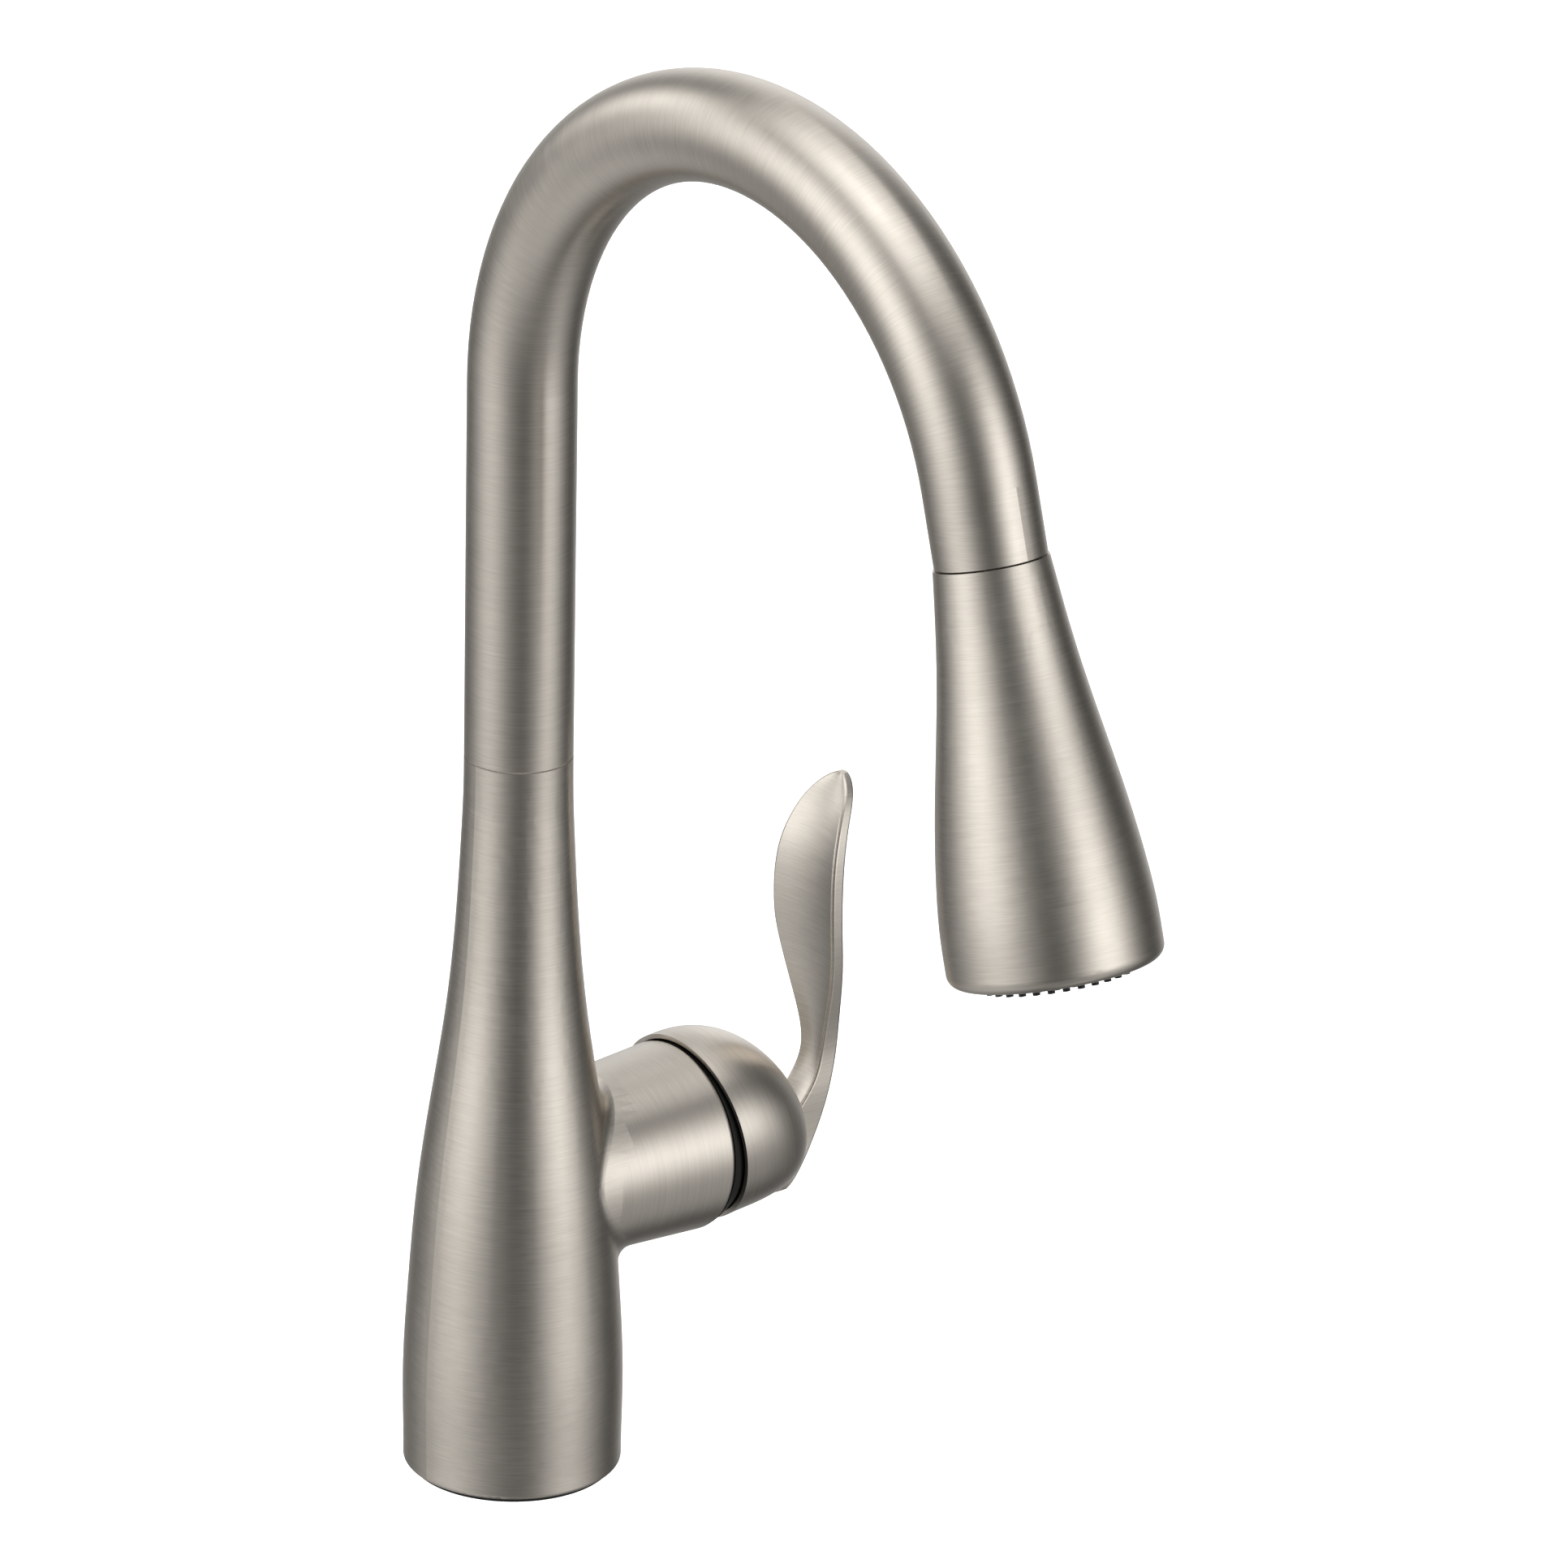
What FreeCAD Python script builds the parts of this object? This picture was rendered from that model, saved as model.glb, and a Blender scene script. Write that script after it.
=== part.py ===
import FreeCAD, Part
import math
import os

# Single-handle pull-down kitchen faucet for one deck hole, in millimetres.
# +Z is up, the origin is the centre of the base on the deck, the spout points
# to -Y and the handle hub to +X.

V = FreeCAD.Vector
X_AXIS = V(1, 0, 0)
Y_AXIS = V(0, 1, 0)
Z_AXIS = V(0, 0, 1)

# ---- overall sizes ----
OVERALL_HEIGHT = 394.0       # deck to the top of the arch
ARCH_RADIUS = 87.5           # centre line of the spout's bend
ARCH_SWEEP = 164.0           # degrees turned by the bend
OUTLET_RUN = 17.7            # straight tube after the bend
TUBE_RADIUS = 13.7
TUBE_WALL = 1.3

# ---- body casting ----
BASE_RADIUS = 28.0
BASE_EDGE = 1.2              # rounding of the lower edge
SEAT_HEIGHT = 193.8          # top of the casting, under the spout
BODY_WALL = 3.0
GASKET_THICK = 1.2
GASKET_WIDTH = 3.6
GASKET_INSET = 2.2           # gasket edge inside the casting's edge
# share of the seat height, share of the flare from neck to base radius
BODY_FLARE = [(0.03, 0.985), (0.13, 1.0), (0.258, 0.917), (0.387, 0.778), (0.515, 0.547),
              (0.644, 0.289), (0.773, 0.124), (0.902, 0.029), (1.0, 0.0)]

# ---- handle hub on the casting ----
HUB_HEIGHT = 76.3            # hub axis above the deck
HUB_RADIUS = 24.9            # at the hub's face
HUB_TAPER = 3.1              # how much slimmer the hub is at the body's axis
HUB_REACH = 52.2             # hub face from the body's axis
HUB_BLEND = 5.0              # fillet between the hub and the body
HUB_WALL = 4.1

# ---- clearances ----
RUN_GAP = 0.05               # radial, one part turning in another
SLIDE_GAP = 0.15             # radial, the wand's neck in its dock
PART_GAP = 0.3               # radial, parts that only pass each other
FACE_GAP = 0.05              # between parts stacked end to end

# ---- hose ----
HOSE_RADIUS = 5.0
HOSE_BORE = 3.2
HOSE_START = 1.5             # the hose's cut end above the deck
PASSAGE_RADIUS = 6.3         # hose passage through the waterway

# ---- waterway column in the casting ----
COLUMN_RADIUS = 19.0
COLUMN_BOTTOM = 8.0
COLUMN_TOP = 88.0
PORT_CIRCLE = 12.6           # ports around the hose passage
PORT_THREAD_RADIUS = 4.5     # tapped M10 x 1
PORT_DEPTH = 12.0
STUD_THREAD_RADIUS = 3.4     # tapped M8
STUD_DEPTH = 16.0
DUCT_RADIUS = 2.5            # level ducts from the column into the cup
DRILL_RADIUS = 2.8           # upright ducts in the column
PORT_ANGLE = 60.0            # hot and cold ports either side of the hub

# ---- valve cup and cartridge, along the hub's axis ----
CUP_BACK = 15.3
CUP_FACE = 50.0
CUP_FLOOR = 25.0
CARTRIDGE_RADIUS = 17.4
BASE_PLATE_THICK = 2.0
DISC_THICK = 2.5
FIXED_DISC_RADIUS = 13.0
MOVING_DISC_RADIUS = 10.5
CARRIER_LENGTH = 5.5
HOUSING_BORE = 14.2
HOUSING_FACE = 44.0
HOUSING_TOP_THICK = 2.7
ROTOR_NECK_RADIUS = 10.2
ROTOR_FACE = 48.0
ROTOR_FLANGE = 2.8
NUT_BORE = 12.0
COLUMN_SCREW_RADIUS = 1.6
COLUMN_SCREW_LENGTH = 17.0

# ---- handle ----
PIVOT_REACH = 45.0           # stem pivot from the body's axis
REST_TILT = 7.2              # degrees the closed handle leans up
STEM_SIDE = 8.0
STEM_LENGTH = 36.0           # from the pivot into the dome
STEM_TAIL = 9.5              # from the pivot to the ball in the disc carrier
STEM_BALL = 2.4
PIN_RADIUS = 1.5
BONNET_RADIUS = 25.6
BONNET_WALL = 1.8
BONNET_MOUTH = 10.0
DOME_START = 10.7            # dome's back rim beyond the pivot, along the stem
DOME_RADIUS = 25.1
DOME_LENGTH = 32.0
DOME_POWER = 2.85
DOME_DROOP = 9.1             # how far the nose sinks below the stem's line
DOME_POCKET_GAP = 0.6        # dome's pocket over the bonnet
GRUB_RADIUS = 2.0
GRUB_LENGTH = 7.0
GRUB_STATION = 30.0
# lever: height over the hub axis, reach from the hub face, half width, half thickness
LEVER_SECTIONS = [(-23.3, 32.7, 4.0, 2.2), (-15.3, 36.5, 4.7, 4.2), (-4.3, 40.5, 4.8, 5.4),
                  (6.7, 46.3, 4.6, 3.0), (16.2, 47.8, 4.9, 2.6), (26.7, 46.6, 7.7, 2.2),
                  (35.7, 45.2, 10.1, 2.0), (46.2, 43.6, 11.8, 1.9), (56.2, 43.2, 12.0, 1.9),
                  (66.2, 44.1, 11.3, 1.9), (73.2, 46.1, 10.0, 1.8), (80.0, 49.5, 7.7, 1.7),
                  (83.5, 51.8, 5.4, 1.5), (85.5, 53.1, 3.2, 1.3), (86.6, 53.9, 1.2, 0.9)]
LEVER_EDGE = 0.8              # rounding of the lever's edges
LEVER_DISH = 0.12             # hollow of its near side, as a share of the half width
LEVER_SCREW_RADIUS = 1.6
LEVER_SCREW_LENGTH = 14.0
LEVER_SCREW_HEIGHT = -6.0    # below the hub axis

# ---- spout swivel ----
SWIVEL_RADIUS = 0.628 * TUBE_RADIUS
SWIVEL_BORE = 0.482 * TUBE_RADIUS
SWIVEL_DEPTH = 48.0          # stem length below the seat
NECK_BORE = 0.777 * TUBE_RADIUS    # bore of the casting's neck
PLUG_LENGTH = 20.0           # stem's head inside the spout tube
BUSHING_LENGTH = 7.5
BUSHING_FLANGE = 1.0
LOWER_BUSHING_TOP = 34.5     # below the seat
CLIP_THICK = 1.4
CLIP_GROOVE = 0.6
ORING_SECTION = 1.25
WASHER_THICK = 0.4

# ---- wand, measured along its axis from the seam with the spout ----
WAND_LENGTH = 99.7
WAND_SEAM = 0.4              # gap between the docked wand and the spout
WAND_WALL = 2.0
# share of the wand's length, radius
WAND_PROFILE = [(0.0, 14.0), (0.2, 16.3), (0.4, 19.5), (0.6, 23.0), (0.8, 25.6), (0.93, 26.2)]
WAND_LIP = 3.2               # rounding of the lower rim
NECK_RADIUS = 9.1            # neck that plugs into the spout
NECK_LENGTH = 14.0
DOCK_LENGTH = 16.0
FERRULE_RADIUS = 6.2
FERRULE_TOP = 24.0           # above the seam
FERRULE_BOTTOM = 10.0
NIPPLE_RADIUS = 4.0
NIPPLE_BORE = 2.5
NIPPLE_END = 8.0
NECK_BORE_WAND = 6.9
CORE_RADIUS = 11.5
CORE_END = 50.0
CHAMBER_RADIUS = 17.5
CHAMBER_END = 78.0
DIVIDER_THICK = 4.0
MAT_TOP = 88.0
MAT_THICK = 2.0
FACE_TOP = 91.0
FACE_THICK = 7.0
FACE_RADIUS = 22.2
AERATOR_RADIUS = 8.0
AERATOR_CELL = 0.75
NOZZLE_RINGS = [(11.4, 14), (14.9, 22), (18.4, 32)]
NOZZLE_RADIUS = 0.9
NOZZLE_BORE = 0.4
NOZZLE_PROUD = 1.6           # tips beyond the wand's rim

# ---- spray selector on the wand ----
ROCKER_STATION = 46.0        # pivot along the wand
ROCKER_PIVOT = 15.2          # pivot from the wand's axis
ROCKER_LENGTH = 30.0
ROCKER_WIDTH = 13.0
ROCKER_THICK = 2.2
ROCKER_GAP = 0.9
ROCKER_TILT = 5.0            # degrees either side of level
ROCKER_PIN = 1.2
ROCKER_PIN_LENGTH = 9.6
SPOOL_AXIS = 6.0
SPOOL_RADIUS = 3.8
SPOOL_WAIST = 2.2
SPOOL_START = 36.0
SPOOL_END = 60.0
FINGER_TIP = 8.6

# ---- check valve in the wand's neck ----
CAGE_START = 10.0
CAGE_LENGTH = 12.0
CAGE_RADIUS = 5.9
CAGE_BORE = 4.7
POPPET_RADIUS = 3.9
POPPET_THICK = 1.4
POPPET_STEM = 1.0

# ---- derived places ----
HUB_FACE = V(HUB_REACH, 0, HUB_HEIGHT)
PIVOT = V(PIVOT_REACH, 0, HUB_HEIGHT)
RISER_TOP = OVERALL_HEIGHT - TUBE_RADIUS - ARCH_RADIUS
TUBE_START = SEAT_HEIGHT + WASHER_THICK + FACE_GAP
ARCH_CENTRE = V(0, -ARCH_RADIUS, RISER_TOP)
SWEEP = math.radians(ARCH_SWEEP)
OUTLET_DIR = V(0, -math.sin(SWEEP), math.cos(SWEEP))
ARCH_END = V(0, -ARCH_RADIUS * (1 - math.cos(SWEEP)), RISER_TOP + ARCH_RADIUS * math.sin(SWEEP))
OUTLET = ARCH_END + OUTLET_DIR * OUTLET_RUN
WAND_FRAME = FreeCAD.Placement(OUTLET, FreeCAD.Rotation(X_AXIS, ARCH_SWEEP))
HANDLE_FRAME = FreeCAD.Placement(PIVOT, FreeCAD.Rotation(Y_AXIS, -REST_TILT))
HUB_FRAME = FreeCAD.Placement(V(0, 0, HUB_HEIGHT), FreeCAD.Rotation(Y_AXIS, 90))


def cylinder(radius, start, end, centre=V(0, 0, 0)):
    """Upright cylinder from height start to height end."""
    return Part.makeCylinder(radius, end - start, centre + V(0, 0, start), Z_AXIS)


def tube(outer, inner, start, end, centre=V(0, 0, 0)):
    """Upright hollow cylinder."""
    return cylinder(outer, start, end, centre).cut(cylinder(inner, start - 1, end + 1, centre))


def turned_curve(points, top_tangent, floor, ceiling):
    """Solid turned about Z under a smooth (radius, height) curve, closed onto the axis."""
    curve = Part.BSplineCurve()
    knots = [V(r, 0, z) for r, z in points]
    first = (knots[1] - knots[0]).normalize()
    curve.interpolate(Points=knots, InitialTangent=first, FinalTangent=top_tangent)
    low = V(points[0][0], 0, floor)
    high = V(points[-1][0], 0, ceiling)
    path = [V(0, 0, floor), low, knots[0]]
    edges = [Part.makeLine(a, b) for a, b in zip(path, path[1:]) if (b - a).Length > 1e-6]
    edges.append(curve.toShape())
    path = [knots[-1], high, V(0, 0, ceiling), V(0, 0, floor)]
    edges += [Part.makeLine(a, b) for a, b in zip(path, path[1:]) if (b - a).Length > 1e-6]
    return Part.Face(Part.Wire(edges)).revolve(V(0, 0, 0), Z_AXIS, 360)


def torus(ring_radius, section, height, centre=V(0, 0, 0)):
    return Part.makeTorus(ring_radius, section, centre + V(0, 0, height), Z_AXIS)


def in_hub(shape):
    """Moves a shape built along +Z onto the hub's axis, so that height becomes reach."""
    moved = shape.copy()
    moved.Placement = HUB_FRAME.multiply(moved.Placement)
    return moved


def in_handle(shape):
    """Moves a shape built about the origin along +X onto the resting stem's axis."""
    moved = shape.copy()
    moved.Placement = HANDLE_FRAME.multiply(moved.Placement)
    return moved


def in_wand(shape):
    """Moves a shape built along +Z onto the wand's axis, measured from the seam."""
    moved = shape.copy()
    moved.Placement = WAND_FRAME.multiply(moved.Placement)
    return moved


def export(name, *solids):
    """Writes one sub-part, a single solid or a group of like ones."""
    shape = solids[0] if len(solids) == 1 else Part.makeCompound(solids)
    shape.exportStep("parts/" + name + ".step")


# ---------------------------------------------------------------- body


def body_profile(inset):
    """Flared outline of the casting, moved inwards by inset."""
    flare = BASE_RADIUS - TUBE_RADIUS
    return [(TUBE_RADIUS + share * flare - inset, z * SEAT_HEIGHT) for z, share in BODY_FLARE]


def body_core(inset, floor, ceiling):
    return turned_curve(body_profile(inset), Z_AXIS, floor, ceiling)


def body_shell():
    """Cast shell: flared column with the hub, hollow for the waterway, bored for the swivel."""
    column = body_core(0, GASKET_THICK, SEAT_HEIGHT)
    column.rotate(V(0, 0, 0), Z_AXIS, 180)
    hub = in_hub(Part.makeCone(HUB_RADIUS - HUB_TAPER, HUB_RADIUS, HUB_REACH))
    outer = column.fuse(hub).removeSplitter()
    joints = []
    for edge in outer.Edges:
        box = edge.BoundBox
        crosses = box.XMin > 1 and box.XMax < HUB_REACH - 1 and box.YLength > HUB_RADIUS / 2
        joints += [edge] if crosses else []
    outer = outer.makeFillet(HUB_BLEND, joints)
    rims = []
    for edge in outer.Edges:
        box = edge.BoundBox
        on_base = box.ZMax < GASKET_THICK + 0.01
        on_hub_face = box.XMin > HUB_REACH - 0.01
        rims += [edge] if on_base or on_hub_face else []
    outer = outer.makeFillet(BASE_EDGE, rims)
    lower_seat = SEAT_HEIGHT - LOWER_BUSHING_TOP - BUSHING_LENGTH
    hollow = body_core(BODY_WALL, GASKET_THICK - 1, SEAT_HEIGHT)
    hollow = hollow.common(cylinder(BASE_RADIUS, 0, lower_seat))
    neck = cylinder(NECK_BORE, lower_seat - 1, SEAT_HEIGHT + 1)
    hub_bore = in_hub(cylinder(HUB_RADIUS - HUB_WALL, CUP_BACK - 1, HUB_REACH + 1))
    shell = outer.cut(hollow).cut(neck).cut(hub_bore)
    recess = cylinder(NECK_BORE + BUSHING_FLANGE, SEAT_HEIGHT - BUSHING_FLANGE, SEAT_HEIGHT + 1)
    return shell.cut(recess)


def base_gasket():
    outer = BASE_RADIUS - GASKET_INSET
    return tube(outer, outer - GASKET_WIDTH, 0, GASKET_THICK)


def port_places():
    """Hot, cold and outlet ports around the hose passage."""
    angles = [PORT_ANGLE, -PORT_ANGLE, 0]
    return [V(PORT_CIRCLE * math.cos(math.radians(a)), PORT_CIRCLE * math.sin(math.radians(a)), 0)
            for a in angles]


def duct_heights():
    """Height at which each port's duct turns into the valve cup."""
    return [HUB_HEIGHT, HUB_HEIGHT, HUB_HEIGHT - MOVING_DISC_RADIUS + DUCT_RADIUS]


def waterway_column():
    """Brass column in the casting: hose passage, three tapped ports, ducts and the stud hole."""
    column = cylinder(COLUMN_RADIUS, COLUMN_BOTTOM, COLUMN_TOP)
    flat = Part.makeBox(COLUMN_RADIUS, 4 * COLUMN_RADIUS, 4 * COLUMN_RADIUS)
    flat.translate(V(CUP_BACK - FACE_GAP, -2 * COLUMN_RADIUS, HUB_HEIGHT - HUB_RADIUS + HUB_WALL))
    column = column.cut(flat).cut(cylinder(PASSAGE_RADIUS, 0, COLUMN_TOP + 1))
    for place, height in zip(port_places(), duct_heights()):
        column = column.cut(cylinder(PORT_THREAD_RADIUS, 0, COLUMN_BOTTOM + PORT_DEPTH, place))
        column = column.cut(cylinder(DRILL_RADIUS, 0, height + DRILL_RADIUS, place))
        run = Part.makeCylinder(DUCT_RADIUS, COLUMN_RADIUS, V(place.x, place.y, height), X_AXIS)
        column = column.cut(run)
    stud = cylinder(STUD_THREAD_RADIUS, 0, COLUMN_BOTTOM + STUD_DEPTH, V(-PORT_CIRCLE, 0, 0))
    column = column.cut(stud)
    for place in column_screw_places():
        hole = cylinder(COLUMN_SCREW_RADIUS, CUP_BACK - COLUMN_SCREW_LENGTH / 2, CUP_BACK + 1, place)
        column = column.cut(in_hub(hole))
    return column


def column_screw_places():
    """Two screws hold the valve cup on the column, clear of its ducts (hub axis coordinates)."""
    return [V(-5, side * 5.5, 0) for side in (-1, 1)]


def valve_cup():
    """Brass cup that holds the cartridge, screwed to the column through its floor."""
    outer = HUB_RADIUS - HUB_WALL - PART_GAP
    cup = cylinder(outer, CUP_BACK, CUP_FACE)
    cup = cup.cut(cylinder(CARTRIDGE_RADIUS + RUN_GAP, CUP_FLOOR, CUP_FACE + 1))
    cup = cup.cut(cylinder(nut_radius() + FACE_GAP, HOUSING_FACE - 1, CUP_FACE + 1))
    for place in column_screw_places():
        cup = cup.cut(cylinder(COLUMN_SCREW_RADIUS, CUP_BACK - 1, CUP_FLOOR + 1, place))
        cup = cup.cut(cylinder(COLUMN_SCREW_RADIUS * 2, CUP_FLOOR - 3, CUP_FLOOR + 1, place))
    cup = in_hub(cup)
    for place, height in zip(port_places(), duct_heights()):
        run = Part.makeCylinder(DUCT_RADIUS, CUP_FLOOR, V(place.x, place.y, height), X_AXIS)
        cup = cup.cut(run)
    return cup


def cup_screws():
    """Two cheese-head screws through the cup's floor into the column."""
    screws = []
    for place in column_screw_places():
        head = cylinder(COLUMN_SCREW_RADIUS * 1.8, CUP_FLOOR - 2.8, CUP_FLOOR - 0.8, place)
        shank_start = CUP_FLOOR - COLUMN_SCREW_LENGTH + 0.5
        shank = cylinder(COLUMN_SCREW_RADIUS - RUN_GAP, shank_start, CUP_FLOOR - 2.8, place)
        slot = Part.makeBox(COLUMN_SCREW_RADIUS * 4, 0.8, 1.0)
        slot.translate(place + V(-COLUMN_SCREW_RADIUS * 2, -0.4, CUP_FLOOR - 1.6))
        screws.append(in_hub(head.fuse(shank).cut(slot)))
    return screws


# ---------------------------------------------------------------- cartridge


def base_plate_face():
    return CUP_FLOOR + FACE_GAP + BASE_PLATE_THICK


def fixed_disc_face():
    return base_plate_face() + DISC_THICK


def moving_disc_face():
    return fixed_disc_face() + FACE_GAP + DISC_THICK


def nut_radius():
    return CARTRIDGE_RADIUS + 0.9


def ported(shape):
    """Cuts the three water ports through a cartridge part standing in the hub."""
    for place, height in zip(port_places(), duct_heights()):
        run = Part.makeCylinder(DUCT_RADIUS, CUP_FACE, V(place.x, place.y, height), X_AXIS)
        shape = shape.cut(run)
    return shape


def cartridge_base():
    return ported(in_hub(cylinder(CARTRIDGE_RADIUS, CUP_FLOOR + FACE_GAP, base_plate_face())))


def fixed_disc():
    return ported(in_hub(cylinder(FIXED_DISC_RADIUS, base_plate_face(), fixed_disc_face())))


def disc_offset():
    """The stem's ball carries the moving disc down while the handle is closed."""
    return V(0, 0, -STEM_TAIL * math.sin(math.radians(REST_TILT)))


def moving_disc():
    """Ceramic disc with the mixing pocket on its sealing side."""
    disc = cylinder(MOVING_DISC_RADIUS, fixed_disc_face() + FACE_GAP, moving_disc_face())
    pocket_top = fixed_disc_face() + FACE_GAP + DISC_THICK / 2
    pocket = cylinder(MOVING_DISC_RADIUS - 3.5, fixed_disc_face() - 1, pocket_top)
    disc = in_hub(disc.cut(pocket))
    disc.translate(disc_offset())
    return disc


def disc_carrier():
    carrier = cylinder(MOVING_DISC_RADIUS - 0.5, moving_disc_face(), moving_disc_face() + CARRIER_LENGTH)
    socket_floor = PIVOT_REACH - STEM_TAIL - STEM_BALL - 0.6
    socket = cylinder(STEM_BALL + RUN_GAP, socket_floor, HUB_REACH)
    mouth = Part.makeCone(STEM_BALL, STEM_BALL + 4, 4, V(0, 0, PIVOT_REACH - STEM_TAIL + 1), Z_AXIS)
    carrier = in_hub(carrier.cut(socket).cut(mouth))
    carrier.translate(disc_offset())
    return carrier


def cartridge_housing():
    housing = cylinder(CARTRIDGE_RADIUS, base_plate_face(), HOUSING_FACE)
    room = cylinder(HOUSING_BORE, base_plate_face() - 1, HOUSING_FACE - HOUSING_TOP_THICK)
    mouth = cylinder(ROTOR_NECK_RADIUS + RUN_GAP, HOUSING_FACE - 5, HOUSING_FACE + 1)
    return in_hub(housing.cut(room).cut(mouth))


def mixer_rotor():
    """Turns with the handle inside the housing and carries the stem's pivot pin."""
    top = HOUSING_FACE - HOUSING_TOP_THICK - FACE_GAP
    rotor = cylinder(HOUSING_BORE - RUN_GAP, top - ROTOR_FLANGE, top)
    rotor = rotor.fuse(cylinder(ROTOR_NECK_RADIUS, top - 1, ROTOR_FACE)).removeSplitter()
    slot = Part.makeBox(15, STEM_SIDE + 0.4, CUP_FACE)
    slot.translate(V(-7.5, -STEM_SIDE / 2 - 0.2, 0))
    rotor = in_hub(rotor.cut(slot))
    return rotor.cut(stem_pin())


def stem_pin():
    """Steel pin across the rotor that the stem tilts on."""
    length = 2 * (ROTOR_NECK_RADIUS - 0.6)
    return Part.makeCylinder(PIN_RADIUS, length, PIVOT - V(0, length / 2, 0), Y_AXIS)


def retainer_nut():
    """Ring nut that clamps the cartridge into the cup."""
    nut = tube(nut_radius(), NUT_BORE, HOUSING_FACE + FACE_GAP, CUP_FACE)
    for turn in range(4):
        notch = Part.makeBox(2.5, 3.0, 3.0, V(NUT_BORE - 0.5, -1.5, CUP_FACE - 2))
        notch.rotate(V(0, 0, 0), Z_AXIS, 90 * turn + 45)
        nut = nut.cut(notch)
    return in_hub(nut)


def bonnet():
    """Black dome over the nut, centred on the pivot so the handle can tilt round it."""
    ball = Part.makeSphere(BONNET_RADIUS, PIVOT).cut(Part.makeSphere(BONNET_RADIUS - BONNET_WALL, PIVOT))
    keep = in_hub(tube(BONNET_RADIUS + 1, BONNET_MOUTH, HUB_REACH + FACE_GAP, PIVOT_REACH + BONNET_RADIUS))
    return ball.common(keep)


# ---------------------------------------------------------------- handle


def control_stem():
    """Square stem that tilts on the pin, with a ball that slides the disc."""
    stem = Part.makeBox(STEM_LENGTH + 3, STEM_SIDE, STEM_SIDE, V(-3, -STEM_SIDE / 2, -STEM_SIDE / 2))
    tail = Part.makeCylinder(STEM_BALL - 0.6, STEM_TAIL, V(-STEM_TAIL, 0, 0), X_AXIS)
    ball = Part.makeSphere(STEM_BALL, V(-STEM_TAIL, 0, 0))
    stem = stem.fuse([tail, ball]).removeSplitter()
    bore = Part.makeCylinder(PIN_RADIUS + RUN_GAP, 2 * STEM_SIDE, V(0, -STEM_SIDE, 0), Y_AXIS)
    return in_handle(stem.cut(bore))


def dome_solid():
    """Bullet-shaped cap whose nose sinks a little below the stem's line."""
    rings = []
    steps = 9
    for i in range(steps + 1):
        share = math.sin(math.radians(86) * i / steps)
        radius = DOME_RADIUS * math.sqrt(1 - share ** DOME_POWER)
        centre = V(DOME_START + share * DOME_LENGTH, 0, -DOME_DROOP * share ** 2)
        rings.append(Part.Wire(Part.makeCircle(radius, centre, X_AXIS)))
    return in_handle(Part.makeLoft(rings, True))


def handle_dome():
    """Cast cap: pocket over the bonnet, square socket for the stem, hole for the grub screw."""
    pocket = Part.makeSphere(BONNET_RADIUS + DOME_POCKET_GAP, PIVOT)
    side = STEM_SIDE + 2 * RUN_GAP
    socket = Part.makeBox(STEM_LENGTH + 0.5, side, side, V(0, -side / 2, -side / 2))
    grub_hole = Part.makeCylinder(GRUB_RADIUS, 2 * DOME_RADIUS, V(GRUB_STATION, 0, 0), -Z_AXIS)
    dome = dome_solid().cut(pocket).cut(in_handle(socket)).cut(in_handle(grub_hole))
    return dome.cut(lever_screw())


def grub_screw():
    """Socket grub screw that clamps the dome to the stem."""
    start = -STEM_SIDE / 2 - FACE_GAP
    screw = Part.makeCylinder(GRUB_RADIUS - 0.05, GRUB_LENGTH, V(GRUB_STATION, 0, start), -Z_AXIS)
    socket = Part.makeCylinder(GRUB_RADIUS / 2, 2, V(GRUB_STATION, 0, start - GRUB_LENGTH), Z_AXIS)
    return in_handle(screw.cut(socket))


def lever_ring(height, reach, half_width, half_thick):
    """Flat section with rounded edges, hollowed towards the body and crowned on its back."""
    edge = min(LEVER_EDGE, half_thick / 2)
    cut = edge * (1 - math.sqrt(0.5))
    dish = LEVER_DISH * half_width
    points = []
    for turn, bow in ((1, dish), (-1, -dish)):
        half = [(-half_thick, half_width - edge), (bow - half_thick, 0), (-half_thick, edge - half_width),
                (cut - half_thick, cut - half_width), (edge - half_thick, -half_width),
                (half_thick - edge, -half_width), (half_thick - cut, cut - half_width)]
        points += [HUB_FACE + V(reach + turn * x, turn * y, height) for x, y in half]
    points.append(points[0])
    sides = []
    for first in (0, 7):
        corners = points[first:first + 8]
        sides.append(Part.Arc(*corners[0:3]).toShape())
        sides.append(Part.Arc(*corners[2:5]).toShape())
        sides.append(Part.makeLine(*corners[4:6]))
        sides.append(Part.Arc(*corners[5:8]).toShape())
    return Part.Wire(sides)


def handle_lever():
    """Leaf-shaped lever that hugs the dome's nose and rises beside the body."""
    rings = [lever_ring(*section) for section in LEVER_SECTIONS]
    lever = Part.makeLoft(rings, True).cut(dome_solid())
    lever = max(lever.Solids, key=lambda solid: solid.Volume)
    return lever.cut(lever_screw())


def lever_screw():
    """Hidden screw from the dome's nose into the lever's root."""
    nose = lever_root_reach()
    start = V(HUB_REACH + nose - LEVER_SCREW_LENGTH, 0, HUB_HEIGHT + LEVER_SCREW_HEIGHT)
    return Part.makeCylinder(LEVER_SCREW_RADIUS, LEVER_SCREW_LENGTH, start, X_AXIS)


def lever_root_reach():
    """Reach of the lever's back face less its skin, at the hidden screw."""
    height, reach, _, half_thick = LEVER_SECTIONS[2]
    return reach + half_thick - 2.0


# ---------------------------------------------------------------- spout


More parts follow.
